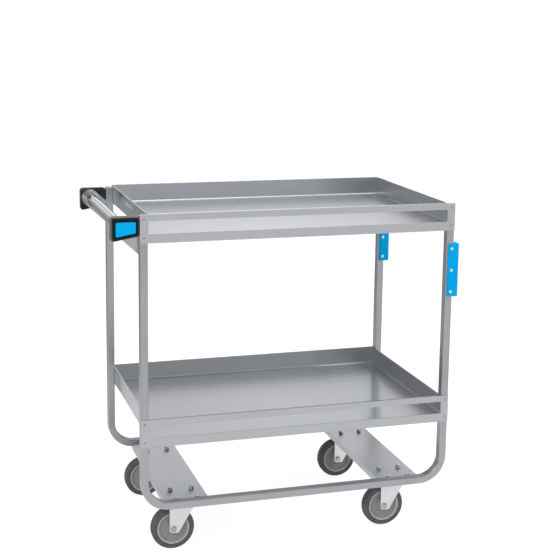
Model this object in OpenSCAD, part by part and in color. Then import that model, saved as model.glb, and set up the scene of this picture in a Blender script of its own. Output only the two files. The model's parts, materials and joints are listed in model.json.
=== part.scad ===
// Two-tray utility cart: two bent-tube frames stand on four swivel casters and carry two
// open trays with a guard strip across the front, a push bar at the left end and bumpers
// at the right end.
// Floor level is Z = 0, X runs along the cart, -Y is the front that the guards close.

/* [Frames] */
// Length over the outer faces of the legs
frame_l = 933; // [750:1:1200]
// Depth over the outer faces of the legs
frame_d = 568; // [460:1:700]
// Frame tube, side seen from the front
tube_w = 22.2; // [20:0.1:28]
// Frame tube, side seen from the end
tube_d = 25.4; // [24:0.1:32]
// Wall of the frame tube
tube_wall = 1.6; // [1.2:0.1:2.2]
// Rounding of the tube's long corners
tube_round = 3; // [2.5:0.1:4]
// Centre-line radius of the two bottom bends
bend_r = 72; // [50:1:100]
// How far the legs stop below the tops of the upper tray's walls
leg_drop = 5; // [2:0.5:15]

/* [Trays] */
// Height of the upper tray's floor above the ground
upper_floor_z = 945.5; // [800:0.5:1100]
// Height of the lower tray's floor above the ground
lower_floor_z = 363; // [300:0.5:500]
// Height of the turned-up walls above the tray floor
wall_h = 54.5; // [45:0.5:80]
// Depth of the turned-down front edge
lip_h = 26.3; // [20:0.1:40]
// Thickness of the tray sheet
sheet_t = 1.5; // [1:0.1:2]
// Height of the folded hem along the wall tops
hem_h = 9; // [6:0.5:14]
// Inside radius of the bend between floor and walls
bend_in_r = 4; // [2:0.5:8]
// Length of the slot in the upper tray's handle-end wall
end_slot_l = 96; // [60:1:140]
// Height of that slot
end_slot_h = 8; // [6:0.5:12]
// Distance from the slot's centre line down from the top of the wall
end_slot_drop = 20; // [18:0.5:26]
// Length of the folded tabs that close the back corners
corner_tab = 26; // [12:1:40]

/* [Front guards] */
// Height of the guard strip in front of each tray
guard_h = 18.9; // [14:0.1:26]
// Thickness of the guard plate
guard_t = 1.5; // [1:0.1:2.5]
// Depth of the edges folded back from the guard strip
guard_fold = 6; // [4:0.5:12]
// Head diameter of the rivets at the ends of the guard plates
rivet_d = 7; // [5:0.5:9]
// Shank diameter of those rivets
rivet_shank = 4; // [3:0.5:4.5]
// Head height of those rivets
rivet_h = 1.4; // [1:0.1:2.5]

/* [Caster channels] */
// Height from the ground to the underside of the channels
caster_h = 156.5; // [145:0.5:170]
// Thickness of the channel plate
channel_t = 2; // [1.6:0.1:3]
// Width of the channel plate
channel_w = 128; // [118:1:150]
// Depth of the channel over its turned-down edges
channel_h = 18.5; // [14:0.5:24]
// How far the channel's top lies below the top of the bottom rails
channel_drop = 9.5; // [8:0.5:10.5]
// Distance from the outer face of a leg to the swivel axis, along the cart
swivel_in_x = 139.3; // [125:0.1:190]
// Distance from the inner face of a bottom rail to the swivel axis, across the cart
swivel_in_y = 49.2; // [48:0.1:80]

/* [Casters] */
// Gap between the top of the wheel and the fork's crown
wheel_gap = 9.7; // [5:0.1:14]
// Width of the tread
tread_w = 32; // [26:1:38]
// Thickness of the tyre on its hub
tyre_t = 16.5; // [13.5:0.5:22]
// Rounding of the tyre's shoulders
shoulder_r = 6; // [3:0.5:8]
// Distance from the swivel axis to the axle
trail = 34; // [28:0.5:40]
// Diameter of the axle
axle_d = 12; // [8:0.5:13]
// Diameter of the king pin
king_pin_d = 12; // [8:0.5:14]
// Thickness of the fork's two cheeks
fork_t = 2.6; // [2:0.1:4]
// Length of the caster's top plate, across the cart
plate_l = 94; // [91:1:95]
// Width of the caster's top plate
plate_w = 84; // [80:1:100]
// Thickness of the caster's top plate
plate_t = 3.5; // [3:0.1:5]
// Bolt spacing along the cart
bolt_x = 63.5; // [58:0.5:66]
// Bolt spacing across the cart
bolt_y = 78; // [74:0.5:80]
// Diameter of the caster bolts
bolt_d = 8; // [6:0.5:9]
// Outer diameter of the ball race under the plate
race_d = 60; // [50:1:66]

/* [Push bar] */
// Diameter of the push bar
bar_d = 31.8; // [25:0.1:36]
// Wall of the push bar
bar_wall = 1.6; // [1.2:0.1:2.5]
// Distance from the legs' outer faces to the bar's centre line
bar_out = 50; // [46:0.5:70]
// Distance from the tops of the legs down to the bar's centre line
bar_below = 29.5; // [28:0.5:36]
// Width of the steel arms that carry the bar
arm_w = 50; // [46:0.5:60]
// Thickness of those arms
arm_t = 3; // [2:0.1:4]
// Slope of the arms below the horizontal
arm_slope = 42.6; // [38:0.1:46]
// Thickness of the flanges on the bar's ends
flange_t = 2.4; // [1.5:0.1:2.8]
// How far the end housings reach past the bar's centre line
housing_past = 30; // [27:0.5:40]
// Height of an end housing at its free end
housing_h = 70; // [62:0.5:84]
// Height of an end housing at the leg
housing_leg_h = 55.5; // [50:0.5:62]
// Depth of the bar's seat in the end housing
bar_seat = 10; // [6:0.5:13]
// Thickness of the coloured inset in each end housing
inset_t = 2; // [1:0.1:3]
// How far the inset lies below the housing's face
inset_sunk = 0.8; // [0.4:0.1:1.2]

/* [Bumpers] */
// Length of a bumper
bumper_l = 159; // [120:1:200]
// How far a bumper stands out past the end of the cart
bumper_out = 17.5; // [10:0.5:28]
// Thickness of the bumper's two side walls
bumper_wall = 3.6; // [2.5:0.1:6]
// Distance from the upper tray's front edge down to the bumper
bumper_below = 39.5; // [20:0.5:80]
// Distance between the bumper screws
bumper_pitch = 64.3; // [45:0.1:70]

/* [Hidden] */
$fn = 72;

// Clearances and the one overrun for all cuts
run_clear = 0.05;
seat_clear = 0.1;
turn_gap = 0.3;
over = 1;

// Frames
leg_x = (frame_l - tube_w) / 2;
frame_y = (frame_d - tube_d) / 2;
inner_l = frame_l - 2 * tube_w;
rail_top_z = caster_h + channel_t + channel_drop;
rail_z = rail_top_z - tube_w / 2;
bend_z = rail_z + bend_r;
cap_t = 2.5;
leg_top_z = upper_floor_z + wall_h - leg_drop;
tube_top_z = leg_top_z - cap_t;
cap_round = 2;
cap_plug = 12;

// The middle of the cart's whole length, from the push bar's housings to the bumpers
left_reach = frame_l / 2 + bar_out + housing_past;
right_reach = frame_l / 2 + bumper_out;
mid_x = (left_reach - right_reach) / 2;

// Front guards
guard_rivet_in = 5.5;
guard_rivet_foot = 15.3;
guard_rivet_drops = [leg_drop + cap_t + guard_rivet_in, wall_h + lip_h - guard_rivet_foot];
tab_round = 5;
guard_round = 2;

// Casters
channel_l = frame_d - 2 * tube_d;
swivel_x = frame_l / 2 - swivel_in_x;
swivel_y = frame_d / 2 - tube_d - swivel_in_y;
plate_z = caster_h - plate_t;
plate_round = 8;
race_h = 8;
race_w = 10;
race_z = plate_z - race_h;
crown_t = 3.5;
crown_z = race_z - turn_gap - race_h;
wheel_d = crown_z - wheel_gap;
hub_d = wheel_d - 2 * tyre_t;
boss_out = 2.2;
boss_half = tread_w / 2 + boss_out;
cheek_y = boss_half + turn_gap;
cheek_round = 12;
cheek_toe_round = 7;
cheek_toe = 11;
crown_front = 31;
axle_z = wheel_d / 2;
axle_head_d = 18;
axle_head_h = 6;
axle_rim_h = 3;
axle_nut_h = 8;
axle_tail = 2;
bush_wall = 2.5;
bush_d = axle_d + 2 * (run_clear + bush_wall);
tyre_lip = 1;
king_head_d = 20;
king_head_h = 3;
bolt_head_d = 15;
bolt_head_h = 5;
nut_d = 15;
nut_h = 6;
nut_dome = 5;

// The hub's half outline: distance from the axle as a share of the hub's radius, and
// distance from the middle of the wheel as a share of half the boss
hub_outline_shares = [
  [0.26, 0.97], [0.26, 0.74], [0.41, 0.70], [0.41, 0.82], [0.50, 0.82], [0.53, 0.50],
  [0.79, 0.46], [0.82, 0.68], [0.93, 0.72], [0.94, 0.84], [1, 0.84]
];

// Push bar
bar_x = -frame_l / 2 - bar_out;
bar_z = leg_top_z - bar_below;
arm_y = frame_d / 2 - tube_d + tube_round;
housing_t = tube_d - tube_round - arm_t;
housing_rise = (housing_h - housing_leg_h) / (housing_past + bar_out);
flange_screw_r = (bar_d + arm_w) / 4;
flange_screw_d = 3.6;
flange_screw_head = 6.4;
flange_screw_head_h = 1.8;
flange_screw_l = 12;
flange_screw_turn = 80;
housing_round = 11;
housing_foot_round = 5;
housing_edge = 6;
inset_end_margin = 12.5;
inset_leg_margin = 9;
inset_top_margin = 14;
inset_foot_margin = 9;
inset_round = 4;
arm_rivet_drops = [56.5, 80.5];

// Bumpers
bumper_z = upper_floor_z - lip_h - bumper_below - bumper_l / 2;
bumper_lap = 18.5;
bumper_nose_round = 7;
bumper_edge_round = 2.5;
bumper_screw_in = 6.5;
bumper_screw_x = frame_l / 2 - bumper_screw_in;
screw_d = 5;
screw_head = 9.6;
screw_head_h = 2.4;

steel = [0.68, 0.69, 0.70];
bright_steel = [0.78, 0.79, 0.80];
zinc = [0.82, 0.84, 0.85];
black = [0.15, 0.16, 0.17];
blue = [0.05, 0.62, 0.90];
tyre_grey = [0.30, 0.31, 0.32];
hub_grey = [0.56, 0.54, 0.52];

function unit(v) = v / norm(v);
// Tangent length and centre of a fillet of radius r at corner i of an outline
function to_prev(p, i) = unit(p[(i + len(p) - 1) % len(p)] - p[i]);
function to_next(p, i) = unit(p[(i + 1) % len(p)] - p[i]);
function half_angle(p, i) = acos(to_prev(p, i) * to_next(p, i)) / 2;
function fillet_centre(p, i, r) =
  p[i] + unit(to_prev(p, i) + to_next(p, i)) * r / sin(half_angle(p, i));

// A convex outline with the corner radii r, one for each point
module rounded(p, r) {
  polygon([for (i = [0 : len(p) - 1], side = [0, 1])
    p[i] + (side == 0 ? to_prev(p, i) : to_next(p, i)) * r[i] / tan(half_angle(p, i))]);
  for (i = [0 : len(p) - 1])
    if (r[i] > 0)
      translate(fillet_centre(p, i, r[i]))
        circle(r = r[i]);
}

function box_points(x0, y0, x1, y1) = [[x0, y0], [x1, y0], [x1, y1], [x0, y1]];

module rounded_box(w, d, r) {
  rounded(box_points(-w / 2, -d / 2, w / 2, d / 2), [r, r, r, r]);
}

// Turns a flat outline drawn in X and Z, t thick, with its outer face at -Y
module upright(t) {
  rotate([90, 0, 0])
    linear_extrude(t)
      children();
}

// A shallow round head that stands h high on the XY plane
module dome(d, h) {
  ball_r = (d * d / 4 + h * h) / (2 * h);
  intersection() {
    translate([0, 0, h - ball_r])
      sphere(r = ball_r);
    cylinder(d = d, h = h);
  }
}

// The same head on a shank of diameter s and length l below it
module headed_pin(d, h, s, l) {
  dome(d, h);
  translate([0, 0, -l])
    cylinder(d = s, h = l);
}

module at_front_and_back() {
  children();
  mirror([0, 1, 0])
    children();
}

module centred() {
  translate([mid_x, 0, 0])
    children();
}

// Frames: each is one tube, bent twice at the bottom

module tube_section() {
  difference() {
    rounded_box(tube_w, tube_d, tube_round);
    rounded_box(tube_w - 2 * tube_wall, tube_d - 2 * tube_wall, tube_round - tube_wall);
  }
}

module bent_tube() {
  for (side = [-1, 1])
    translate([side * leg_x, 0, bend_z])
      linear_extrude(tube_top_z - bend_z)
        tube_section();
  for (side = [-1, 1])
    translate([side * (leg_x - bend_r), 0, bend_z])
      rotate([90, 0, 0])
        rotate([0, 0, side < 0 ? 180 : 270])
          rotate_extrude(angle = 90)
            translate([bend_r, 0])
              tube_section();
  translate([-(leg_x - bend_r), 0, rail_z])
    rotate([0, 90, 0])
      linear_extrude(2 * (leg_x - bend_r))
        tube_section();
}

// Round holes along Y through the outer wall of a leg, or through both walls
module leg_hole(x, z, d, both) {
  translate([x, both ? 0 : -tube_d / 2, z])
    rotate([90, 0, 0])
      cylinder(d = d, h = both ? tube_d + over : 2 * (tube_wall + over), center = true);
}

module drilled_tube(guarded) {
  difference() {
    bent_tube();
    if (guarded)
      for (side = [-1, 1], tray_z = [upper_floor_z, lower_floor_z], drop = guard_rivet_drops)
        leg_hole(side * leg_x, tray_z + wall_h - drop, rivet_shank + 2 * seat_clear, false);
    for (drop = arm_rivet_drops)
      leg_hole(-leg_x, bar_z - drop, rivet_shank + 2 * seat_clear, false);
    for (step = [-1, 0, 1])
      leg_hole(bumper_screw_x, bumper_z + step * bumper_pitch, screw_d + 2 * seat_clear, true);
  }
}

module front_frame() {
  color(steel)
    centred()
      translate([0, -frame_y, 0])
        drilled_tube(true);
}

module back_frame() {
  color(steel)
    centred()
      mirror([0, 1, 0])
        translate([0, -frame_y, 0])
          drilled_tube(false);
}

module leg_cap() {
  plug_w = tube_w - 2 * tube_wall - 2 * seat_clear;
  plug_d = tube_d - 2 * tube_wall - 2 * seat_clear;
  intersection() {
    linear_extrude(cap_t)
      rounded_box(tube_w, tube_d, tube_round);
    translate([0, tube_d / 2, 0])
      upright(tube_d)
        rounded(box_points(-tube_w / 2, -over, tube_w / 2, cap_t), [0, 0, cap_round, cap_round]);
  }
  translate([0, 0, -cap_plug])
    linear_extrude(cap_plug)
      rounded_box(plug_w, plug_d, tube_round - tube_wall);
}

module leg_caps() {
  color(steel)
    centred()
      for (x = [-leg_x, leg_x], y = [-frame_y, frame_y])
        translate([x, y, tube_top_z])
          leg_cap();
}

// Trays: floor, three walls turned up with a folded hem, front edge turned down

// The inside curve between the floor and a wall, l long: it starts at the origin, runs
// towards -Y and fills the corner between +X and +Z
module seam(l) {
  rotate([90, 0, 0])
    linear_extrude(l)
      difference() {
        square(bend_in_r);
        translate([bend_in_r, bend_in_r])
          circle(r = bend_in_r);
      }
}

module end_wall_slot() {
  slot_y = (end_slot_l - end_slot_h) / 2;
  for (y = [-slot_y, slot_y])
    translate([0, y, 0])
      rotate([0, 90, 0])
        cylinder(d = end_slot_h, h = 2 * (sheet_t + over), center = true);
  cube([2 * (sheet_t + over), 2 * slot_y, end_slot_h], center = true);
}

// The tab that laps over the back end of a side wall, on the wall's outside
module lap_tab() {
  tab_h = wall_h + sheet_t;
  rotate([90, 0, 90])
    linear_extrude(sheet_t)
      rounded(box_points(-corner_tab, 0, 0, tab_h), [0, 0, 0, tab_round]);
}

module side_wall() {
  hem_end = frame_d / 2 - tube_d - seat_clear;
  translate([0, -frame_d / 2, -sheet_t])
    cube([sheet_t, frame_d, wall_h + sheet_t]);
  translate([-sheet_t, -hem_end, wall_h - hem_h])
    cube([sheet_t, 2 * hem_end - corner_tab, hem_h]);
  translate([-sheet_t, hem_end, -sheet_t])
    lap_tab();
  translate([sheet_t, frame_d / 2, 0])
    seam(frame_d);
}

module tray(floor_z, slotted) {
  translate([0, 0, floor_z]) {
    translate([-inner_l / 2, -frame_d / 2, -sheet_t])
      cube([inner_l, frame_d, sheet_t]);
    difference() {
      translate([-inner_l / 2, 0, 0])
        side_wall();
      if (slotted)
        translate([-inner_l / 2, 0, wall_h - end_slot_drop])
          end_wall_slot();
    }
    mirror([1, 0, 0])
      translate([-inner_l / 2, 0, 0])
        side_wall();
    translate([-inner_l / 2, frame_d / 2 - sheet_t, -sheet_t])
      cube([inner_l, sheet_t, wall_h + sheet_t]);
    translate([-inner_l / 2, frame_d / 2, wall_h - hem_h])
      cube([inner_l, sheet_t, hem_h]);
    translate([inner_l / 2, frame_d / 2 - sheet_t, 0])
      rotate([0, 0, -90])
        seam(inner_l);
    translate([-inner_l / 2, -frame_d / 2, -lip_h])
      cube([inner_l, sheet_t, lip_h]);
  }
}

module upper_tray() {
  color(bright_steel)
    centred()
      tray(upper_floor_z, true);
}

module lower_tray() {
  color(bright_steel)
    centred()
      tray(lower_floor_z, false);
}

// Front guards: one slotted plate per tray, lapped over the front legs and riveted

module guard(floor_z) {
  fold_l = inner_l - 2 * (sheet_t + seat_clear);
  translate([0, -frame_d / 2, floor_z]) {
    difference() {
      upright(guard_t)
        rounded(box_points(-frame_l / 2, -lip_h, frame_l / 2, wall_h),
          [guard_round, guard_round, guard_round, guard_round]);
      translate([-inner_l / 2, -guard_t - over, 0])
        cube([inner_l, guard_t + 2 * over, wall_h - guard_h]);
      for (x = [-leg_x, leg_x], drop = guard_rivet_drops)
        translate([x, 0, wall_h - drop])
          rotate([90, 0, 0])
            cylinder(d = rivet_shank + 2 * seat_clear, h = 2 * (guard_t + over), center = true);
    }
    for (z = [wall_h - guard_h, wall_h - guard_t])
      translate([-fold_l / 2, -guard_t, z])
        cube([fold_l, guard_fold, guard_t]);
  }
}

module upper_guard() {
  color(steel)
    centred()
      guard(upper_floor_z);
}

module lower_guard() {
  color(steel)
    centred()
      guard(lower_floor_z);
}

module guard_rivets() {
  color(zinc)
    centred()
      for (x = [-leg_x, leg_x], tray_z = [upper_floor_z, lower_floor_z], drop = guard_rivet_drops)
        translate([x, -frame_d / 2 - guard_t, tray_z + wall_h - drop])
          rotate([90, 0, 0])
            headed_pin(rivet_d, rivet_h, rivet_shank, guard_t + tube_wall);
}

// Caster channels: plates across the bottom rails, edges turned down

module caster_bolt_spots() {
  for (x = [-bolt_x / 2, bolt_x / 2], y = [-bolt_y / 2, bolt_y / 2])
    translate([x, y, 0])
      children();
}

module channel(x) {
  translate([x, 0, caster_h])
    difference() {
      union() {
        translate([-channel_w / 2, -channel_l / 2, 0])
          cube([channel_w, channel_l, channel_t]);
        for (edge_x = [-channel_w / 2, channel_w / 2 - channel_t])
          translate([edge_x, -channel_l / 2, channel_t - channel_h])
            cube([channel_t, channel_l, channel_h]);
      }
      for (y = [-swivel_y, swivel_y])
        translate([0, y, -over])
          caster_bolt_spots()
            cylinder(d = bolt_d + 2 * seat_clear, h = channel_t + 2 * over);
    }
}

module left_channel() {
  color(bright_steel)
    centred()
      channel(-swivel_x);
}

module right_channel() {
  color(bright_steel)
    centred()
      channel(swivel_x);
}

// Push bar, the sloping arms that carry it, and the end housings

module flange_screw_spots() {
  for (turn = [0 : 90 : 270])
    rotate([0, 0, turn + flange_screw_turn])
      translate([flange_screw_r, 0, 0])
        children();
}

// Puts a piece drawn round the bar's axis at its place, y from the middle of the cart:
// its X stays, its Y turns up and its Z turns towards the front
module on_bar(y) {
  translate([bar_x, -y, bar_z])
    rotate([90, 0, 0])
      children();
}

module push_bar() {
  bar_half = arm_y + arm_t + bar_seat;
  color(bright_steel)
    centred()
      on_bar(-bar_half)
        difference() {
          cylinder(d = bar_d, h = 2 * bar_half);
          translate([0, 0, -over])
            cylinder(d = bar_d - 2 * bar_wall, h = 2 * (bar_half + over));
        }
}

module bar_flange() {
  on_bar(arm_y - flange_t)
    difference() {
      cylinder(d = arm_w, h = flange_t);
      translate([0, 0, -over]) {
        cylinder(d = bar_d + 2 * seat_clear, h = flange_t + 2 * over);
        flange_screw_spots()
          cylinder(d = flange_screw_d + 2 * seat_clear, h = flange_t + 2 * over);
      }
    }
}

module bar_flange_front() {
  color(bright_steel)
    centred()
      bar_flange();
}

module bar_flange_back() {
  color(bright_steel)
    centred()
      mirror([0, 1, 0])
        bar_flange();
}

// The arm's band runs down at arm_slope from the bar to the leg's outer face
module arm_outline() {
  arm_r = arm_w / 2;
  side = [sin(arm_slope), cos(arm_slope)] * arm_r;
  upper_end_y = side[1] - tan(arm_slope) * (bar_out - side[0]);
  lower_end_y = -side[1] - tan(arm_slope) * (bar_out + side[0]);
  circle(r = arm_r);
  polygon([side, -side, [bar_out, lower_end_y], [bar_out, upper_end_y]]);
}

module bar_arm() {
  on_bar(arm_y)
    difference() {
      linear_extrude(arm_t)
        arm_outline();
      translate([0, 0, -over]) {
        cylinder(d = bar_d + 2 * seat_clear, h = arm_t + 2 * over);
        flange_screw_spots()
          cylinder(d = flange_screw_d + 2 * seat_clear, h = arm_t + 2 * over);
      }
    }
}

module bar_arm_front() {
  color(steel)
    centred()
      bar_arm();
}

module bar_arm_back() {
  color(steel)
    centred()
      mirror([0, 1, 0])
        bar_arm();
}

// The housing's outline seen from the front, its points from the free end's foot on
housing_l = bar_out + housing_past;
housing_points = [
  [-housing_past, leg_top_z - bar_z - housing_h], [bar_out, leg_top_z - bar_z - housing_leg_h],
  [bar_out, leg_top_z - bar_z], [-housing_past, leg_top_z - bar_z]
];
inset_points = [
  housing_points[0] + [inset_end_margin, inset_foot_margin + inset_end_margin * housing_rise],
  housing_points[1] + [-inset_leg_margin, inset_foot_margin - inset_leg_margin * housing_rise],
  housing_points[2] - [inset_leg_margin, inset_top_margin],
  housing_points[3] + [inset_end_margin, -inset_top_margin]
];

module inset_block(t, clear) {
  linear_extrude(t)
    rounded([inset_points[0] + [clear, clear], inset_points[1] + [-clear, clear],
      inset_points[2] - [clear, clear], inset_points[3] + [clear, -clear]],
      [inset_round, inset_round, inset_round, inset_round]);
}

module housing() {
  top = housing_points[2][1];
  foot = housing_points[0][1];
  on_bar(arm_y + arm_t)
    difference() {
      intersection() {
        linear_extrude(housing_t)
          rounded(housing_points, [housing_round, housing_foot_round, housing_foot_round, housing_round]);
        translate([0, top, 0])
          rotate([90, 0, 0])
            linear_extrude(top - foot)
              rounded(box_points(-housing_past, 0, bar_out, housing_t),
                [0, 0, housing_edge / 2, housing_edge]);
        translate([-housing_past, 0, 0])
          rotate([90, 0, 90])
            linear_extrude(housing_l)
              rounded(box_points(foot, 0, top, housing_t), [0, 0, housing_edge, housing_edge / 2]);
      }
      translate([0, 0, -over]) {
        cylinder(d = bar_d + 2 * seat_clear, h = bar_seat + seat_clear + over);
        flange_screw_spots()
          cylinder(d = flange_screw_d + 2 * seat_clear, h = flange_screw_l - flange_t - arm_t + 2 * over);
      }
      translate([0, 0, housing_t - inset_t - inset_sunk])
        inset_block(inset_t + inset_sunk + over, 0);
    }
}

module housing_front() {
  color(black)
    centred()
      housing();
}

module housing_back() {
  color(black)
    centred()
      mirror([0, 1, 0])
        housing();
}

module inset() {
  on_bar(frame_d / 2 - inset_sunk - inset_t)
    inset_block(inset_t, seat_clear);
}

module inset_front() {
  color(blue)
    centred()
      inset();
}

module inset_back() {
  color(blue)
    centred()
      mirror([0, 1, 0])
        inset();
}

module flange_screws() {
  color(zinc)
    centred()
      at_front_and_back()
        on_bar(arm_y - flange_t)
          flange_screw_spots()
            mirror([0, 0, 1])
              headed_pin(flange_screw_head, flange_screw_head_h, flange_screw_d, flange_screw_l);
}

module arm_rivets() {
  color(zinc)
    centred()
      at_front_and_back()
        for (drop = arm_rivet_drops)
          translate([-leg_x, -frame_d / 2, bar_z - drop])
            rotate([90, 0, 0])
              headed_pin(rivet_d, rivet_h, rivet_shank, tube_wall);
}

// Bumpers: blocks that wrap the outer side of the two right-hand legs

module bumper() {
  bumper_y = tube_d / 2 + bumper_wall;
  translate([leg_x, -frame_y, bumper_z])
    difference() {
      translate([0, 0, -bumper_l / 2])
        linear_extrude(bumper_l)
          difference() {
            rounded(box_points(tube_w / 2 - bumper_lap, -bumper_y, tube_w / 2 + bumper_out, bumper_y),
              [bumper_edge_round, bumper_nose_round, bumper_nose_round, bumper_edge_round]);
            translate([tube_w / 2 - bumper_lap - over, -tube_d / 2 - seat_clear])
              square([bumper_lap + over + seat_clear, tube_d + 2 * seat_clear]);
          }
      for (step = [-1, 0, 1])
        translate([bumper_screw_x - leg_x, 0, step * bumper_pitch])
          rotate([90, 0, 0])
            cylinder(d = screw_d + 2 * seat_clear, h = 2 * (bumper_y + over), center = true);
    }
}

module bumper_front() {
  color(blue)
    centred()
      bumper();
}

module bumper_back() {
  color(blue)
    centred()
      mirror([0, 1, 0])
        bumper();
}

// Through screws with a round head on either side
module bumper_screws() {
  screw_l = tube_d + 2 * bumper_wall;
  color(zinc)
    centred()
      at_front_and_back()
        for (step = [-1, 0, 1])
          translate([bumper_screw_x, -frame_y, bumper_z + step * bumper_pitch])
            rotate([90, 0, 0]) {
              translate([0, 0, screw_l / 2])
                headed_pin(screw_head, screw_head_h, screw_d, screw_l);
              translate([0, 0, -screw_l / 2])
                mirror([0, 0, 1])
                  dome(screw_head, screw_head_h);
            }
}

// Casters: top plate, king pin, fork, axle and wheel. Left and front are -1.

module at_caster(side_x, side_y) {
  centred()
    translate([side_x * swivel_x, side_y * swivel_y, 0])
      children();
}

module at_all_casters() {
  for (side_x = [-1, 1], side_y = [-1, 1])
    at_caster(side_x, side_y)
      children();
}

module caster_plate(side_x, side_y) {
  color(zinc)
    at_caster(side_x, side_y)
      difference() {
        union() {
          translate([0, 0, plate_z])
            linear_extrude(plate_t)
              rounded_box(plate_w, plate_l, plate_round);
          translate([0, 0, race_z])
            cylinder(d = race_d, h = race_h);
        }
        translate([0, 0, race_z - over])
          cylinder(d = race_d - 2 * race_w, h = race_h + over);
        translate([0, 0, plate_z - over]) {
          cylinder(d = king_pin_d + 2 * seat_clear, h = plate_t + 2 * over);
          caster_bolt_spots()
            cylinder(d = bolt_d + 2 * seat_clear, h = plate_t + 2 * over);
        }
      }
}

module caster_plate_fl() { caster_plate(-1, -1); }
module caster_plate_fr() { caster_plate(1, -1); }
module caster_plate_bl() { caster_plate(-1, 1); }
module caster_plate_br() { caster_plate(1, 1); }

module king_pins() {
  head_top = crown_z - turn_gap;
  color(zinc)
    at_all_casters() {
      translate([0, 0, head_top])
        cylinder(d = king_pin_d, h = caster_h - head_top);
      translate([0, 0, head_top - king_head_h])
        cylinder(d = king_head_d, h = king_head_h);
    }
}

module caster_bolts() {
  color(zinc)
    at_all_casters()
      caster_bolt_spots()
        translate([0, 0, plate_z]) {
          cylinder(d = bolt_d, h = plate_t + channel_t + nut_h);
          translate([0, 0, -bolt_head_h])
            cylinder(d = bolt_head_d, h = bolt_head_h, $fn = 6);
        }
}

module caster_nuts() {
  color(zinc)
    at_all_casters()
      caster_bolt_spots()
        translate([0, 0, caster_h + channel_t])
          difference() {
            union() {
              cylinder(d = nut_d, h = nut_h, $fn = 6);
              translate([0, 0, nut_h])
                dome(nut_d * cos(30), nut_dome);
            }
            translate([0, 0, -over])
              cylinder(d = bolt_d + 2 * run_clear, h = nut_h + run_clear + over);
          }
}

// A cheek of the fork seen from the front, drawn round the swivel axis
module cheek_outline() {
  foot = axle_z - cheek_round;
  toe = [cheek_toe - trail, foot + cheek_toe_round];
  brow = [crown_front, crown_z];
  reach = norm(brow - toe);
  lean = atan2(brow[1] - toe[1], brow[0] - toe[0]) - asin(cheek_toe_round / reach);
  polygon([
    [-trail - cheek_round, crown_z + crown_t], [-trail - cheek_round, axle_z], [-trail, foot],
    [toe[0], foot], toe + cheek_toe_round * [sin(lean), -cos(lean)], brow,
    [crown_front, crown_z + crown_t]
  ]);
  translate([-trail, axle_z])
    circle(r = cheek_round);
  translate(toe)
    circle(r = cheek_toe_round);
}

module fork(side_x, side_y) {
  half_w = cheek_y + fork_t;
  color(zinc)
    at_caster(side_x, side_y)
      difference() {
        union() {
          translate([-trail - cheek_round, -half_w, crown_z])
            cube([trail + cheek_round + crown_front, 2 * half_w, crown_t]);
          translate([0, 0, crown_z])
            cylinder(d = race_d, h = race_h);
          for (y = [-cheek_y, half_w])
            translate([0, y, 0])
              upright(fork_t)
                cheek_outline();
        }
        translate([0, 0, crown_z - over])
          cylinder(d = king_pin_d + 2 * run_clear, h = race_h + 2 * over);
        translate([-trail, 0, axle_z])
          rotate([90, 0, 0])
            cylinder(d = axle_d + 2 * seat_clear, h = 2 * (half_w + over), center = true);
      }
}

module fork_fl() { fork(-1, -1); }
module fork_fr() { fork(1, -1); }
module fork_bl() { fork(-1, 1); }
module fork_br() { fork(1, 1); }

// Puts a piece drawn round Z at a caster's axle, its +Z towards the front
module at_axle(side_x, side_y) {
  at_caster(side_x, side_y)
    translate([-trail, 0, axle_z])
      rotate([90, 0, 0])
        children();
}

module axle_bolt(side_x, side_y) {
  half_w = cheek_y + fork_t;
  color(zinc)
    at_axle(side_x, side_y) {
      translate([0, 0, half_w])
        cylinder(d = axle_head_d, h = axle_rim_h);
      translate([0, 0, half_w + axle_rim_h])
        dome(axle_head_d, axle_head_h - axle_rim_h);
      translate([0, 0, -half_w - axle_nut_h - axle_tail])
        cylinder(d = axle_d, h = 2 * half_w + axle_nut_h + axle_tail);
    }
}

module axle_bolt_fl() { axle_bolt(-1, -1); }
module axle_bolt_fr() { axle_bolt(1, -1); }
module axle_bolt_bl() { axle_bolt(-1, 1); }
module axle_bolt_br() { axle_bolt(1, 1); }

module axle_nut(side_x, side_y) {
  half_w = cheek_y + fork_t;
  color(zinc)
    at_axle(side_x, side_y)
      translate([0, 0, -half_w - axle_nut_h])
        difference() {
          cylinder(d = axle_head_d, h = axle_nut_h, $fn = 6);
          translate([0, 0, -over])
            cylinder(d = axle_d + 2 * run_clear, h = axle_nut_h + 2 * over);
        }
}

module axle_nut_fl() { axle_nut(-1, -1); }
module axle_nut_fr() { axle_nut(1, -1); }
module axle_nut_bl() { axle_nut(-1, 1); }
module axle_nut_br() { axle_nut(1, 1); }

module bush(side_x, side_y) {
  color(zinc)
    at_axle(side_x, side_y)
      translate([0, 0, -boss_half])
        difference() {
          cylinder(d = bush_d, h = 2 * boss_half);
          translate([0, 0, -over])
            cylinder(d = axle_d + 2 * run_clear, h = 2 * (boss_half + over));
        }
}

module bush_fl() { bush(-1, -1); }
module bush_fr() { bush(1, -1); }
module bush_bl() { bush(-1, 1); }
module bush_br() { bush(1, 1); }

module hub(side_x, side_y) {
  hub_r = hub_d / 2;
  bore_r = bush_d / 2 + seat_clear;
  half = [for (s = hub_outline_shares) [s[0] * hub_r, s[1] * boss_half]];
  last = len(half) - 1;
  color(hub_grey)
    at_axle(side_x, side_y)
      rotate_extrude()
        polygon(concat(
          [[bore_r, half[0][1]]], half,
          [for (i = [last : -1 : 0]) [half[i][0], -half[i][1]]], [[bore_r, -half[0][1]]]
        ));
}

module hub_fl() { hub(-1, -1); }
module hub_fr() { hub(1, -1); }
module hub_bl() { hub(-1, 1); }
module hub_br() { hub(1, 1); }

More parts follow.
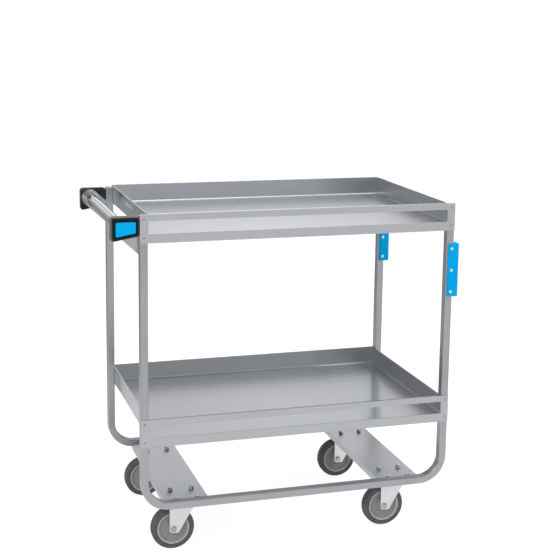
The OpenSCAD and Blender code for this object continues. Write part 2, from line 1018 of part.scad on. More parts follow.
module tyre(side_x, side_y) {
  color(tyre_grey)
    at_axle(side_x, side_y)
      rotate_extrude()
        rounded(box_points(hub_d / 2 + seat_clear, -tread_w / 2, wheel_d / 2, tread_w / 2),
          [tyre_lip, shoulder_r, shoulder_r, tyre_lip]);
}

module tyre_fl() { tyre(-1, -1); }
module tyre_fr() { tyre(1, -1); }
module tyre_bl() { tyre(-1, 1); }
module tyre_br() { tyre(1, 1); }

front_frame();
back_frame();
leg_caps();
upper_tray();
lower_tray();
upper_guard();
lower_guard();
guard_rivets();
left_channel();
right_channel();
push_bar();
bar_flange_front();
bar_flange_back();
bar_arm_front();
bar_arm_back();
housing_front();
housing_back();
inset_front();
inset_back();
flange_screws();
arm_rivets();
bumper_front();
bumper_back();
bumper_screws();
caster_plate_fl();
caster_plate_fr();
caster_plate_bl();
caster_plate_br();
king_pins();
caster_bolts();
caster_nuts();
fork_fl();
fork_fr();
fork_bl();
fork_br();
axle_bolt_fl();
axle_bolt_fr();
axle_bolt_bl();
axle_bolt_br();
axle_nut_fl();
axle_nut_fr();
axle_nut_bl();
axle_nut_br();
hub_fl();
hub_fr();
hub_bl();
hub_br();
bush_fl();
bush_fr();
bush_bl();
bush_br();
tyre_fl();
tyre_fr();
tyre_bl();
tyre_br();
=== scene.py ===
import json
import math

import bmesh
import bpy
from mathutils import Matrix, Vector


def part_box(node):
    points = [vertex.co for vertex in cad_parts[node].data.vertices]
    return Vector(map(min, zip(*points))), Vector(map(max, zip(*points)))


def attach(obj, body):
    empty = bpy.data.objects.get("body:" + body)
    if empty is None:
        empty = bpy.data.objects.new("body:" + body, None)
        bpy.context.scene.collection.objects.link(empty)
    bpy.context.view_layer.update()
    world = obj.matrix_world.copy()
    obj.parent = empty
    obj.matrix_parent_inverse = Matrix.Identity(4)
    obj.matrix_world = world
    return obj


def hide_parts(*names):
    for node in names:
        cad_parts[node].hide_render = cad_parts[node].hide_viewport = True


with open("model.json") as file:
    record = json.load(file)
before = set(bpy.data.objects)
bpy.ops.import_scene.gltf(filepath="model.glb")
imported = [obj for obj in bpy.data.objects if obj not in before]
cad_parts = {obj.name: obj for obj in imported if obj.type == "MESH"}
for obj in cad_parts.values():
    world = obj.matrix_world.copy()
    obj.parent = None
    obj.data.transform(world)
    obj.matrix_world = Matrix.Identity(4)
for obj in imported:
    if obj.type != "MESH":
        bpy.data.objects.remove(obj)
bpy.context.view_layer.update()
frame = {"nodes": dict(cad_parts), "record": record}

CORNERS = ("fl", "fr", "bl", "br")
MM = 0.001


# Camera

# Measured place and direction of the photograph's viewpoint, in metres and degrees
CAMERA_PLACE = (-1.089, -3.656, 1.580)
CAMERA_TURN = 17.32
CAMERA_DOWN = 9.98
CAMERA_ROLL = 0.80
CAMERA_LENS = 82.29
# The photograph shows its upright edges parallel; this small part of its shift is taken over
CAMERA_SHIFT = -0.1


def place_camera():
    turn, down, roll = (math.radians(a) for a in (CAMERA_TURN, CAMERA_DOWN, CAMERA_ROLL))
    ahead = Vector((math.sin(turn) * math.cos(down), math.cos(turn) * math.cos(down), -math.sin(down)))
    level = Vector((math.cos(turn), -math.sin(turn), 0))
    rise = level.cross(ahead)
    right = level * math.cos(roll) + rise * math.sin(roll)
    up = rise * math.cos(roll) - level * math.sin(roll)
    data = bpy.data.cameras.new("view_camera")
    data.sensor_width = 36
    data.lens = CAMERA_LENS
    data.shift_y = CAMERA_SHIFT
    data.clip_end = 100
    camera = bpy.data.objects.new("view_camera", data)
    bpy.context.scene.collection.objects.link(camera)
    camera.matrix_world = Matrix((
        (right.x, up.x, -ahead.x, CAMERA_PLACE[0]),
        (right.y, up.y, -ahead.y, CAMERA_PLACE[1]),
        (right.z, up.z, -ahead.z, CAMERA_PLACE[2]),
        (0, 0, 0, 1),
    ))
    bpy.context.scene.camera = camera


place_camera()
bpy.context.scene.view_settings.view_transform = "Standard"


# Node helpers


def node(tree, kind, links=None, **values):
    """A node: links sets or joins its sockets by name or number, values sets its properties."""
    made = tree.nodes.new(kind)
    for key, value in values.items():
        setattr(made, key, value)
    for key, value in (links or {}).items():
        socket = made.inputs[key]
        if isinstance(value, bpy.types.NodeSocket):
            tree.links.new(value, socket)
        else:
            socket.default_value = value
    return made


def map_range(tree, value, low, high, to_low, to_high):
    made = node(tree, "ShaderNodeMapRange", {
        "Value": value, "From Min": low, "From Max": high, "To Min": to_low, "To Max": to_high,
    })
    return made.outputs["Result"]


def math_node(tree, operation, *values):
    made = node(tree, "ShaderNodeMath", dict(enumerate(values)), operation=operation)
    return made.outputs[0]


def vector_math(tree, operation, first, second):
    return node(tree, "ShaderNodeVectorMath", {0: first, 1: second}, operation=operation).outputs[0]


def weighed_sum(tree, first, first_share, second, second_share):
    return math_node(tree, "ADD", math_node(tree, "MULTIPLY", first, first_share),
                     math_node(tree, "MULTIPLY", second, second_share))


def mix_colour(tree, share, first, second):
    return node(tree, "ShaderNodeMix", {0: share, 6: first, 7: second}, data_type="RGBA").outputs[2]


# Studio

# Even light on the object
FILL = 0.62
# How bright metal finds the room, and the band that the round bar mirrors
ROOM_NEAR, ROOM_FAR, ROOM_ABOVE, ROOM_SIDES = 0.72, 1.26, 0.5, 0.33
BAND_X, BAND_GLOW = -0.13, 0.8
# How bright metal finds the floor: near the cart, and beyond it from near to far
FLOOR_POOL, FLOOR_NEAR, FLOOR_FAR = 0.77, 0.69, 0.31
# What the eye sees of the floor: the share of plain glow over its matt surface, and the glow
FLOOR_GLOW_SHARE, FLOOR_GLOW = 0.7, 1.26
# Half the floor's width in metres
FLOOR_HALF = 30


def plain_light(tree, strength):
    """A white background or glow of one strength, given as a number or a socket."""
    in_material = isinstance(tree.id_data, bpy.types.Material)
    kind = "ShaderNodeEmission" if in_material else "ShaderNodeBackground"
    return node(tree, kind, {"Color": (1, 1, 1, 1), "Strength": strength}).outputs[0]


def mix_shader(tree, share, first, second):
    return node(tree, "ShaderNodeMixShader", {0: share, 1: first, 2: second}).outputs[0]


def by_ray(tree, plain, mirrored, seen):
    """One shader for light on the object, one for what metal and glass mirror, one for the eye."""
    path = node(tree, "ShaderNodeLightPath").outputs
    either = math_node(tree, "MAXIMUM", path["Is Glossy Ray"], path["Is Transmission Ray"])
    return mix_shader(tree, path["Is Camera Ray"], mix_shader(tree, either, plain, mirrored), seen)


def backdrop_world():
    """White to the eye, an even fill for the object, and to metal a room with a bright far side."""
    world = bpy.data.worlds.new("studio_world")
    bpy.context.scene.world = world
    world.use_nodes = True
    tree = world.node_tree
    tree.nodes.clear()
    away = node(tree, "ShaderNodeSeparateXYZ", {
        "Vector": node(tree, "ShaderNodeTexCoord").outputs["Generated"]})
    far = map_range(tree, away.outputs["Y"], -0.5, 0.8, ROOM_NEAR, ROOM_FAR)
    high = map_range(tree, away.outputs["Z"], 0.12, 0.5, 1.0, ROOM_ABOVE)
    left = map_range(tree, away.outputs["X"], -0.26, 0.26, ROOM_SIDES, 1.0)
    right = map_range(tree, away.outputs["X"], 0.3, 0.8, 1.0, ROOM_SIDES)
    room = math_node(tree, "MULTIPLY", math_node(tree, "MULTIPLY", far, high),
                     math_node(tree, "MULTIPLY", right, left))
    # A narrow bright band low on the far side, which the round bar mirrors as a line
    band = math_node(tree, "ABSOLUTE", math_node(tree, "SUBTRACT", away.outputs["X"], BAND_X))
    band = map_range(tree, band, 0.01, 0.035, BAND_GLOW, 0.0)
    band = math_node(tree, "MULTIPLY", band, map_range(tree, away.outputs["Z"], 0.25, 0.4, 1.0, 0.0))
    band = math_node(tree, "MULTIPLY", band, map_range(tree, away.outputs["Y"], 0.5, 0.8, 0.0, 1.0))
    room = math_node(tree, "ADD", room, band)
    shown = by_ray(tree, plain_light(tree, FILL), plain_light(tree, room), plain_light(tree, 1.0))
    node(tree, "ShaderNodeOutputWorld", {"Surface": shown})


def floor_and_backdrop():
    """A pale floor: it holds the shadow, looks white beyond it, and shows softly in metal."""
    material = bpy.data.materials.new("studio_floor")
    material.use_nodes = True
    tree = material.node_tree
    tree.nodes.clear()
    matt = node(tree, "ShaderNodeBsdfDiffuse", {"Color": (0.86, 0.86, 0.86, 1)}).outputs[0]
    place = node(tree, "ShaderNodeTexCoord").outputs["Object"]
    away = node(tree, "ShaderNodeVectorMath", {0: place}, operation="LENGTH").outputs["Value"]
    beyond = map_range(tree, away, 1.2, 2.6, 0.0, 1.0)
    depth = node(tree, "ShaderNodeSeparateXYZ", {"Vector": place}).outputs["Y"]
    dim = map_range(tree, depth, -2.0, 2.0, FLOOR_NEAR, FLOOR_FAR)
    near = math_node(tree, "SUBTRACT", 1.0, beyond)
    mirrored = plain_light(tree, weighed_sum(tree, beyond, dim, near, FLOOR_POOL))
    seen = mix_shader(tree, FLOOR_GLOW_SHARE, matt, plain_light(tree, FLOOR_GLOW))
    node(tree, "ShaderNodeOutputMaterial", {"Surface": by_ray(tree, matt, mirrored, seen)})
    mesh = bpy.data.meshes.new("studio_floor")
    corners = [(x * FLOOR_HALF, y * FLOOR_HALF, 0) for x, y in ((-1, -1), (1, -1), (1, 1), (-1, 1))]
    mesh.from_pydata(corners, [], [(0, 1, 2, 3)])
    mesh.materials.append(material)
    floor = bpy.data.objects.new("studio_floor", mesh)
    bpy.context.scene.collection.objects.link(floor)


def soft_lamp(name, place, target, width, height, power):
    data = bpy.data.lights.new(name, "AREA")
    data.shape = "RECTANGLE"
    data.size, data.size_y = width, height
    data.energy = power
    lamp = bpy.data.objects.new(name, data)
    bpy.context.scene.collection.objects.link(lamp)
    lamp.location = place
    lamp.rotation_mode = "QUATERNION"
    lamp.rotation_quaternion = (Vector(target) - Vector(place)).to_track_quat("-Z", "Y")


backdrop_world()
floor_and_backdrop()
soft_lamp("lamp_front_left", (-2.6, -2.8, 3.0), (0, 0, 0.6), 1.6, 1.6, 62)
soft_lamp("lamp_right", (3.2, -0.8, 2.4), (0, 0, 0.5), 1.4, 1.8, 40)
soft_lamp("lamp_above", (0.2, -0.1, 3.6), (0.1, 0, 0.9), 3.4, 2.6, 56)


# Shader groups


def new_group(name, inputs, outputs):
    """A shader group with its named sockets; gives the tree and the sockets of its two ends."""
    tree = bpy.data.node_groups.new(name, "ShaderNodeTree")
    for label, kind, value in inputs:
        socket = tree.interface.new_socket(label, in_out="INPUT", socket_type=kind)
        socket.default_value = value
    for label, kind in outputs:
        tree.interface.new_socket(label, in_out="OUTPUT", socket_type=kind)
    return tree, tree.nodes.new("NodeGroupInput").outputs, tree.nodes.new("NodeGroupOutput").inputs


def grain_group():
    """Streaks of a brushed finish that run along one direction."""
    tree, given, out = new_group(
        "brushed_grain",
        [("Vector", "NodeSocketVector", (0, 0, 0)), ("Stretch", "NodeSocketVector", (1, 20, 20)),
         ("Fineness", "NodeSocketFloat", 20.0)],
        [("Streaks", "NodeSocketFloat"), ("Height", "NodeSocketFloat")],
    )
    drawn = vector_math(tree, "MULTIPLY", given["Vector"], given["Stretch"])
    wide = node(tree, "ShaderNodeTexNoise", {
        "Vector": drawn, "Scale": given["Fineness"], "Detail": 4.0, "Roughness": 0.65})
    finer = math_node(tree, "MULTIPLY", given["Fineness"], 3.7)
    fine = node(tree, "ShaderNodeTexNoise", {
        "Vector": drawn, "Scale": finer, "Detail": 3.0, "Roughness": 0.7})
    both = math_node(tree, "ADD", wide.outputs["Fac"], fine.outputs["Fac"])
    streaks = map_range(tree, both, 0.7, 1.3, 0.0, 1.0)
    tree.links.new(streaks, out["Streaks"])
    tree.links.new(math_node(tree, "MULTIPLY", both, 0.5), out["Height"])
    return tree


def marks_group():
    """Large soft patches and small rubbed spots left by handling and wiping."""
    tree, given, out = new_group(
        "handling_marks",
        [("Vector", "NodeSocketVector", (0, 0, 0)), ("Patch Size", "NodeSocketFloat", 3.0),
         ("Spot Size", "NodeSocketFloat", 40.0)],
        [("Patches", "NodeSocketFloat"), ("Spots", "NodeSocketFloat")],
    )
    broad = node(tree, "ShaderNodeTexNoise", {
        "Vector": given["Vector"], "Scale": given["Patch Size"], "Detail": 3.0,
        "Roughness": 0.5, "Distortion": 0.6})
    small = node(tree, "ShaderNodeTexNoise", {
        "Vector": given["Vector"], "Scale": given["Spot Size"], "Detail": 5.0,
        "Roughness": 0.62})
    tree.links.new(map_range(tree, broad.outputs["Fac"], 0.3, 0.7, 0.0, 1.0), out["Patches"])
    tree.links.new(map_range(tree, small.outputs["Fac"], 0.55, 0.75, 0.0, 1.0), out["Spots"])
    return tree


def edge_group():
    """Rounds the shading of sharp edges and puts out a mask of where they are."""
    tree, given, out = new_group(
        "rounded_edge_mask",
        [("Radius", "NodeSocketFloat", 0.001), ("Sharpness", "NodeSocketFloat", 2.0)],
        [("Edges", "NodeSocketFloat"), ("Normal", "NodeSocketVector")],
    )
    rounded = node(tree, "ShaderNodeBevel", {"Radius": given["Radius"]}, samples=4)
    facing = node(tree, "ShaderNodeNewGeometry")
    same = node(tree, "ShaderNodeVectorMath", {0: rounded.outputs["Normal"], 1: facing.outputs["Normal"]},
                operation="DOT_PRODUCT")
    away = math_node(tree, "SUBTRACT", 1.0, same.outputs["Value"])
    mask = node(tree, "ShaderNodeMath", {0: away, 1: given["Sharpness"]}, operation="MULTIPLY",
                use_clamp=True)
    tree.links.new(mask.outputs[0], out["Edges"])
    tree.links.new(rounded.outputs["Normal"], out["Normal"])
    return tree


def pits_group():
    """The even fine texture of moulded plastic and rubber."""
    tree, given, out = new_group(
        "moulded_texture",
        [("Vector", "NodeSocketVector", (0, 0, 0)), ("Grain Size", "NodeSocketFloat", 900.0)],
        [("Height", "NodeSocketFloat"), ("Tone", "NodeSocketFloat")],
    )
    cells = node(tree, "ShaderNodeTexVoronoi", {"Vector": given["Vector"],
                                                "Scale": given["Grain Size"]})
    cloud = node(tree, "ShaderNodeTexNoise", {
        "Vector": given["Vector"], "Scale": 34.0, "Detail": 4.0, "Roughness": 0.6})
    tree.links.new(cells.outputs["Distance"], out["Height"])
    tree.links.new(map_range(tree, cloud.outputs["Fac"], 0.32, 0.68, 0.0, 1.0), out["Tone"])
    return tree


GRAIN = grain_group()
MARKS = marks_group()
EDGES = edge_group()
PITS = pits_group()


# Finishes


def finish_start(name, values):
    """A material and its Principled shader, with values set on the shader's own sockets."""
    material = bpy.data.materials.new(name)
    material.use_nodes = True
    tree = material.node_tree
    tree.nodes.clear()
    shader = node(tree, "ShaderNodeBsdfPrincipled", values)
    node(tree, "ShaderNodeOutputMaterial", {"Surface": shader.outputs[0]})
    return material, tree, shader, tree.nodes.new("ShaderNodeTexCoord").outputs["Object"]


def grouped(tree, group, links):
    """The outputs of a shader group that is placed with its own values."""
    return node(tree, "ShaderNodeGroup", links, node_tree=group).outputs


def marks_on(tree, place, patch, spot):
    return grouped(tree, MARKS, {"Vector": place, "Patch Size": patch, "Spot Size": spot})


def edges_on(tree, radius, sharpness):
    return grouped(tree, EDGES, {"Radius": radius, "Sharpness": sharpness})


def set_roughness(tree, shader, value, rough):
    tree.links.new(map_range(tree, value, 0.0, 1.0, *rough), shader.inputs["Roughness"])


def bump(tree, shader, height, depth, normal=None):
    made = node(tree, "ShaderNodeBump", {"Height": height, "Distance": depth, "Strength": 1.0})
    if normal is not None:
        tree.links.new(normal, made.inputs["Normal"])
    tree.links.new(made.outputs["Normal"], shader.inputs["Normal"])


def facing_parts(tree):
    """The X, Y and Z parts of the direction that a face looks in."""
    facing = node(tree, "ShaderNodeNewGeometry").outputs["Normal"]
    return node(tree, "ShaderNodeSeparateXYZ", {"Vector": facing}).outputs


def looking_up(tree, low, high, share):
    """A mask of the faces that look up, from the upward part low to the upward part high."""
    return map_range(tree, facing_parts(tree)["Z"], low, high, 0.0, share)


def spread_across(tree, shader, along, amount):
    """Brushed metal spreads what it mirrors across its brushing; along is the brushing's direction."""
    facing = node(tree, "ShaderNodeNewGeometry").outputs["Normal"]
    across = vector_math(tree, "CROSS_PRODUCT", facing, along)
    # A little of a fixed direction keeps it from vanishing on faces across the brushing
    tree.links.new(vector_math(tree, "ADD", across, (0.003, 0.002, 0.001)), shader.inputs["Tangent"])
    shader.inputs["Anisotropic"].default_value = amount


# Tone of a painted highlight on faces that look up
TOP_HIGHLIGHT_TONE = (0.96, 0.965, 0.97)


def brushed_steel(name, dark, light, stretch, fineness, rough, edge, patch, depth=0.00003, slope=None,
                  end_walls=False, spread=0.8, painted_top_share=0.0, painted_top_colour=TOP_HIGHLIGHT_TONE, painted_edge_scale=1.35):
    """Brushed stainless steel: streaks in tone and roughness, patches, edges of another tone.

    slope is a turn about Y in degrees for a piece whose brushing slopes; end_walls is for a
    piece brushed along X whose faces across X are brushed along Y; spread is how far mirrored
    light spreads across the brushing; wiped is how far faces that look up take painted_top_colour,
    a painted highlight, or a painted shade where painted_top_colour is dark; painted_edge_scale is how
    bright the
    edges are beside the light tone: above one it lightens them as wear and painted highlight,
    below one it darkens them as painted shade.
    """
    material, tree, shader, place = finish_start(name, {"Metallic": 1.0})
    along = tuple(float(s == min(stretch)) for s in stretch)
    if slope is not None:
        turn = (0, math.radians(slope), 0)
        place = node(tree, "ShaderNodeMapping", {"Vector": place, "Rotation": turn}).outputs[0]
    if end_walls:
        across = math_node(tree, "ABSOLUTE", facing_parts(tree)["X"])
        sideways = map_range(tree, across, 0.45, 0.55, 0.0, 1.0)
        stretch = mix_colour(tree, sideways, (*stretch, 1), (stretch[1], stretch[0], stretch[2], 1))
        along = mix_colour(tree, sideways, (1, 0, 0, 1), (0, 1, 0, 1))
    if spread > 0:
        spread_across(tree, shader, along, spread)
    grain = grouped(tree, GRAIN, {"Vector": place, "Stretch": stretch, "Fineness": fineness})
    marks = marks_on(tree, place, patch, 46.0)
    edges = edges_on(tree, edge, 1.6)
    tone = weighed_sum(tree, grain["Streaks"], 0.6, marks["Patches"], 0.4)
    colour = mix_colour(tree, tone, (*dark, 1), (*light, 1))
    # Edges lighter than the light tone are wear and painted highlight; darker ones, as in the lower guard,
    # are painted shade
    painted_shading = tuple(min(1.0, c * painted_edge_scale) for c in light)
    colour = mix_colour(tree, edges["Edges"], colour, (*painted_shading, 1))
    # Faces that look up take painted_top_colour: a painted highlight on the guard, a painted shade on the
    # lower guard
    if painted_top_share > 0:
        colour = mix_colour(tree, looking_up(tree, 0.4, 0.8, painted_top_share), colour, (*painted_top_colour, 1))
    tree.links.new(colour, shader.inputs["Base Color"])
    worn = weighed_sum(tree, grain["Streaks"], 0.7, marks["Spots"], 0.3)
    set_roughness(tree, shader, worn, rough)
    bump(tree, shader, grain["Height"], depth, edges["Normal"])
    return material


def tube_steel(name, dark, light, low, high):
    """Frame tube: brushed along the rail up to the height low, and along the legs from high on."""
    material, tree, shader, place = finish_start(name, {"Metallic": 1.0})
    legs = grouped(tree, GRAIN, {"Vector": place, "Stretch": (34, 34, 0.8), "Fineness": 16.0})
    rail = grouped(tree, GRAIN, {"Vector": place, "Stretch": (0.8, 34, 34), "Fineness": 16.0})
    height = node(tree, "ShaderNodeSeparateXYZ", {"Vector": place}).outputs["Z"]
    share = map_range(tree, height, low, high, 0.0, 1.0)
    streaks = node(tree, "ShaderNodeMix", {
        0: share, 2: rail["Streaks"], 3: legs["Streaks"]}, data_type="FLOAT").outputs[0]
    spread_across(tree, shader, mix_colour(tree, share, (1, 0, 0, 1), (0, 0, 1, 1)), 0.7)
    marks = marks_on(tree, place, 5.0, 60.0)
    edges = edges_on(tree, 0.0012, 1.2)
    tone = weighed_sum(tree, streaks, 0.55, marks["Patches"], 0.45)
    colour = mix_colour(tree, tone, (*dark, 1), (*light, 1))
    # The top of the rail is painted darker: painted shade under the trays
    rail_top_shade = math_node(tree, "MULTIPLY", looking_up(tree, 0.3, 0.8, 0.85),
                       math_node(tree, "SUBTRACT", 1.0, share))
    colour = mix_colour(tree, rail_top_shade, colour, (*(c * 0.66 for c in dark), 1))
    tree.links.new(colour, shader.inputs["Base Color"])
    set_roughness(tree, shader, streaks, (0.28, 0.42))
    bump(tree, shader, streaks, 0.00003, edges["Normal"])
    return material


def zinc_plate(name, dark, light, rough, top_highlight_share=0.0):
    """Bright zinc plate: faint clouding, small dull spots and brighter edges.

    top_highlight_share is how far faces that look up are brighter than the rest, a painted highlight.
    """
    material, tree, shader, place = finish_start(name, {"Metallic": 1.0})
    marks = marks_on(tree, place, 26.0, 150.0)
    edges = edges_on(tree, 0.0008, 1.6)
    colour = mix_colour(tree, marks["Patches"], (*dark, 1), (*light, 1))
    # Faces that look up take a painted highlight
    if top_highlight_share > 0:
        colour = mix_colour(tree, looking_up(tree, 0.45, 0.8, top_highlight_share), colour, (*TOP_HIGHLIGHT_TONE, 1))
    tree.links.new(mix_colour(tree, edges["Edges"], colour, (0.95, 0.96, 0.97, 1)),
                   shader.inputs["Base Color"])
    dull = weighed_sum(tree, marks["Patches"], 0.6, marks["Spots"], 0.4)
    set_roughness(tree, shader, dull, rough)
    bump(tree, shader, marks["Spots"], 0.00002, edges["Normal"])
    return material


def moulded_plastic(name, colour, painted_edge_colour, rough, grain_size, depth, edge, painted_edge_share, gloss=0.5,
                    painted_top_side_share=0.0, lip=None):
    """Moulded plastic with a fine skin texture, clouded tone and edges of another tone.

    scuff is how far the edges take painted_edge_colour, lightening them as painted highlight where it
    is lighter and darkening them as painted shade where it is darker; handled is how far faces
    that look up or along the length take painted_edge_colour as painted highlight; lip is the tone of
    the places that the piece's own "lip" attribute marks, painted highlight where lighter, painted shade
    where darker.
    """
    material, tree, shader, place = finish_start(name, {"Specular IOR Level": gloss})
    pits = grouped(tree, PITS, {"Vector": place, "Grain Size": grain_size})
    marks = marks_on(tree, place, 14.0, 90.0)
    edges = edges_on(tree, edge, 1.4)
    lighter = tuple(c + (w - c) * 0.08 for c, w in zip(colour, painted_edge_colour))
    base = mix_colour(tree, pits["Tone"], (*colour, 1), (*lighter, 1))
    # Edges take painted_edge_colour as painted highlight where it is lighter, painted shade where it is
    # darker; with handled, faces that look up or along the length take it as painted highlight
    painted_shading = math_node(tree, "MULTIPLY", edges["Edges"], painted_edge_share)
    if painted_top_side_share > 0:
        facing = facing_parts(tree)
        open_face = math_node(tree, "MAXIMUM", facing["Z"], math_node(tree, "ABSOLUTE", facing["X"]))
        open_face = map_range(tree, open_face, 0.15, 0.75, 0.0, painted_top_side_share)
        painted_shading = math_node(tree, "MAXIMUM", painted_shading, open_face)
    final = mix_colour(tree, painted_shading, base, (*painted_edge_colour, 1))
    # Places that the "lip" attribute marks take lip: painted highlight on the hub's rim, painted shade at
    # the inset's rim and in the housing's pocket
    if lip is not None:
        marked = node(tree, "ShaderNodeAttribute", attribute_name="lip", attribute_type="GEOMETRY")
        final = mix_colour(tree, marked.outputs["Fac"], final, (*lip, 1))
    tree.links.new(final, shader.inputs["Base Color"])
    set_roughness(tree, shader, marks["Patches"], rough)
    bump(tree, shader, pits["Height"], depth, edges["Normal"])
    return material


def tyre_rubber():
    """Grey rubber: clouded tone, a little pale dust and a fine skin."""
    material, tree, shader, place = finish_start("tyre_rubber", {"Specular IOR Level": 0.35})
    pits = grouped(tree, PITS, {"Vector": place, "Grain Size": 700.0})
    marks = marks_on(tree, place, 22.0, 120.0)
    base = mix_colour(tree, pits["Tone"], (0.078, 0.082, 0.086, 1), (0.104, 0.109, 0.114, 1))
    dusty = math_node(tree, "MULTIPLY", marks["Spots"], 0.5)
    tree.links.new(mix_colour(tree, dusty, base, (0.16, 0.16, 0.155, 1)), shader.inputs["Base Color"])
    set_roughness(tree, shader, marks["Patches"], (0.48, 0.66))
    bump(tree, shader, pits["Height"], 0.00008)
    return material


FRAME_TUBE = tube_steel("brushed_frame_tube", (0.492, 0.505, 0.526), (0.588, 0.604, 0.628), 0.17, 0.24)
TRAY_SHEET = brushed_steel("brushed_tray_sheet", (0.590, 0.605, 0.628), (0.668, 0.684, 0.709),
                           (0.5, 60, 60), 24.0, (0.22, 0.28), 0.0011, 1.6, 0.00001, end_walls=True)
# The guard's faces that look up take a painted highlight
GUARD_VALUES = dict(dark=(0.603, 0.620, 0.643), light=(0.716, 0.735, 0.762), stretch=(0.5, 60, 60),
                    fineness=24.0, rough=(0.27, 0.36), edge=0.0012, patch=2.6, painted_top_share=1.0)
GUARD_SHEET = brushed_steel("brushed_guard_sheet", **GUARD_VALUES)
# In the lower guard the edges and the faces that look up are dark with shade
LOWER_GUARD_SHEET = brushed_steel("brushed_lower_guard_sheet", **GUARD_VALUES,
                                  painted_top_colour=(0.26, 0.262, 0.27), painted_edge_scale=0.45)
CHANNEL_SHEET = brushed_steel("brushed_channel_sheet", (0.493, 0.508, 0.534), (0.630, 0.647, 0.676),
                              (50, 0.6, 50), 20.0, (0.28, 0.40), 0.0011, 4.0)
BAR_TUBE = brushed_steel("polished_bar_tube", (0.54, 0.55, 0.565), (0.69, 0.70, 0.715), (30, 0.7, 30),
                         22.0, (0.08, 0.16), 0.0008, 6.0, 0.00001, spread=0.0)
ARM_PLATE = brushed_steel("brushed_arm_plate", (0.50, 0.505, 0.51), (0.65, 0.655, 0.66), (0.8, 30, 30),
                          22.0, (0.26, 0.38), 0.0008, 8.0, slope=42.6, spread=0.0)
FASTENER = zinc_plate("bright_fastener", (0.62, 0.625, 0.63), (0.78, 0.785, 0.79), (0.12, 0.24))
RIVET_STEEL = zinc_plate("dull_rivet_steel", (0.37, 0.378, 0.39), (0.50, 0.508, 0.52), (0.28, 0.42))
# The cap nuts' faces that look up take a painted highlight
NUT_STEEL = zinc_plate("dark_cap_nut", (0.26, 0.262, 0.265), (0.38, 0.382, 0.385), (0.16, 0.26), 1.0)
SCREW_DOME = zinc_plate("bright_screw_dome", (0.95, 0.955, 0.96), (0.99, 0.99, 0.99), (0.32, 0.44))
AXLE_STEEL = zinc_plate("axle_steel", (0.50, 0.505, 0.51), (0.64, 0.645, 0.65), (0.24, 0.38))
CASTER_ZINC = zinc_plate("caster_zinc_plate", (0.86, 0.875, 0.885), (0.95, 0.965, 0.975), (0.34, 0.48))
BUSH_STEEL = zinc_plate("turned_bush_steel", (0.50, 0.50, 0.50), (0.62, 0.62, 0.62), (0.24, 0.36))
# Housing: lighter edges, tops and ends are painted highlight; its pocket takes painted shade
HOUSING_PLASTIC = moulded_plastic("dark_housing_plastic", (0.008, 0.011, 0.013), (0.13, 0.135, 0.138),
                                  (0.34, 0.50), 620.0, 0.00012, 0.0010, 0.25, 0.10, 1.0,
                                  lip=(0.006, 0.010, 0.012))
# Inset: lighter edges are painted highlight; its outer rim takes painted shade
INSET_PLASTIC = moulded_plastic("blue_inset_plastic", (0.001, 0.375, 0.76), (0.03, 0.50, 0.80),
                                (0.26, 0.36), 260.0, 0.00003, 0.0012, 0.8, 0.03, lip=(0.001, 0.035, 0.07))
# Bumper: darker edges are painted shade
BUMPER_PLASTIC = moulded_plastic("blue_bumper_plastic", (0.001, 0.375, 0.78), (0.001, 0.16, 0.36),
                                 (0.34, 0.46), 420.0, 0.00005, 0.0022, 0.9, 0.03)
# Hub: lighter edges and rim are painted highlight
HUB_PLASTIC = moulded_plastic("warm_grey_hub_plastic", (0.272, 0.258, 0.258), (0.62, 0.60, 0.60),
                              (0.36, 0.50), 520.0, 0.00004, 0.0014, 0.8, lip=(0.52, 0.51, 0.505))
TYRE_RUBBER = tyre_rubber()
WELD_METAL = zinc_plate("weld_metal", (0.34, 0.33, 0.32), (0.52, 0.50, 0.48), (0.30, 0.46))

FINISH_OF_SLOT = {
    "frame_tube": FRAME_TUBE, "tray_sheet": TRAY_SHEET, "guard_sheet": GUARD_SHEET,
    "channel_sheet": CHANNEL_SHEET, "bar_tube": BAR_TUBE, "arm_plate": ARM_PLATE,
    "fastener": FASTENER, "housing": HOUSING_PLASTIC, "inset": INSET_PLASTIC,
    "bumper": BUMPER_PLASTIC, "caster_metal": CASTER_ZINC, "caster_hub": HUB_PLASTIC,
    "caster_bush": BUSH_STEEL, "tyre": TYRE_RUBBER,
}

SLOT_OF_NODE = {entry["node"]: entry["material_slot"] for entry in frame["record"]["subparts"]}
for name, made in frame["nodes"].items():
    made.data.materials.clear()
    finish = LOWER_GUARD_SHEET if name == "lower_guard" else FINISH_OF_SLOT[SLOT_OF_NODE[name]]
    made.data.materials.append(finish)


# Meshes


def link(name, mesh):
    piece = bpy.data.objects.new(name, mesh)
    bpy.context.scene.collection.objects.link(piece)
    return piece


def smooth_with_corners(mesh, angle):
    mesh.shade_smooth()
    mesh.set_sharp_from_angle(angle=math.radians(angle))


def finished_mesh(name, body, angle):
    bmesh.ops.recalc_face_normals(body, faces=body.faces)
    mesh = bpy.data.meshes.new(name)
    body.to_mesh(mesh)
    body.free()
    smooth_with_corners(mesh, angle)
    return mesh


def rounded_outline(points, radii, steps):
    """A closed outline, its corners turned into arcs of the given radii."""
    out = []
    for i, (corner, radius) in enumerate(zip(points, radii)):
        here = Vector(corner)
        back = Vector(points[i - 1]) - here
        ahead = Vector(points[(i + 1) % len(points)]) - here
        if radius <= 0 or back.length == 0 or ahead.length == 0:
            out.append(here)
            continue
        half = back.angle(ahead) / 2
        if half > math.radians(89):
            out.append(here)
            continue
        reach = min(radius / math.tan(half), 0.45 * back.length, 0.45 * ahead.length)
        start, end = here + back.normalized() * reach, here + ahead.normalized() * reach
        for step in range(steps + 1):
            t = step / steps
            out.append(start * (1 - t) ** 2 + here * 2 * t * (1 - t) + end * t ** 2)
    return out


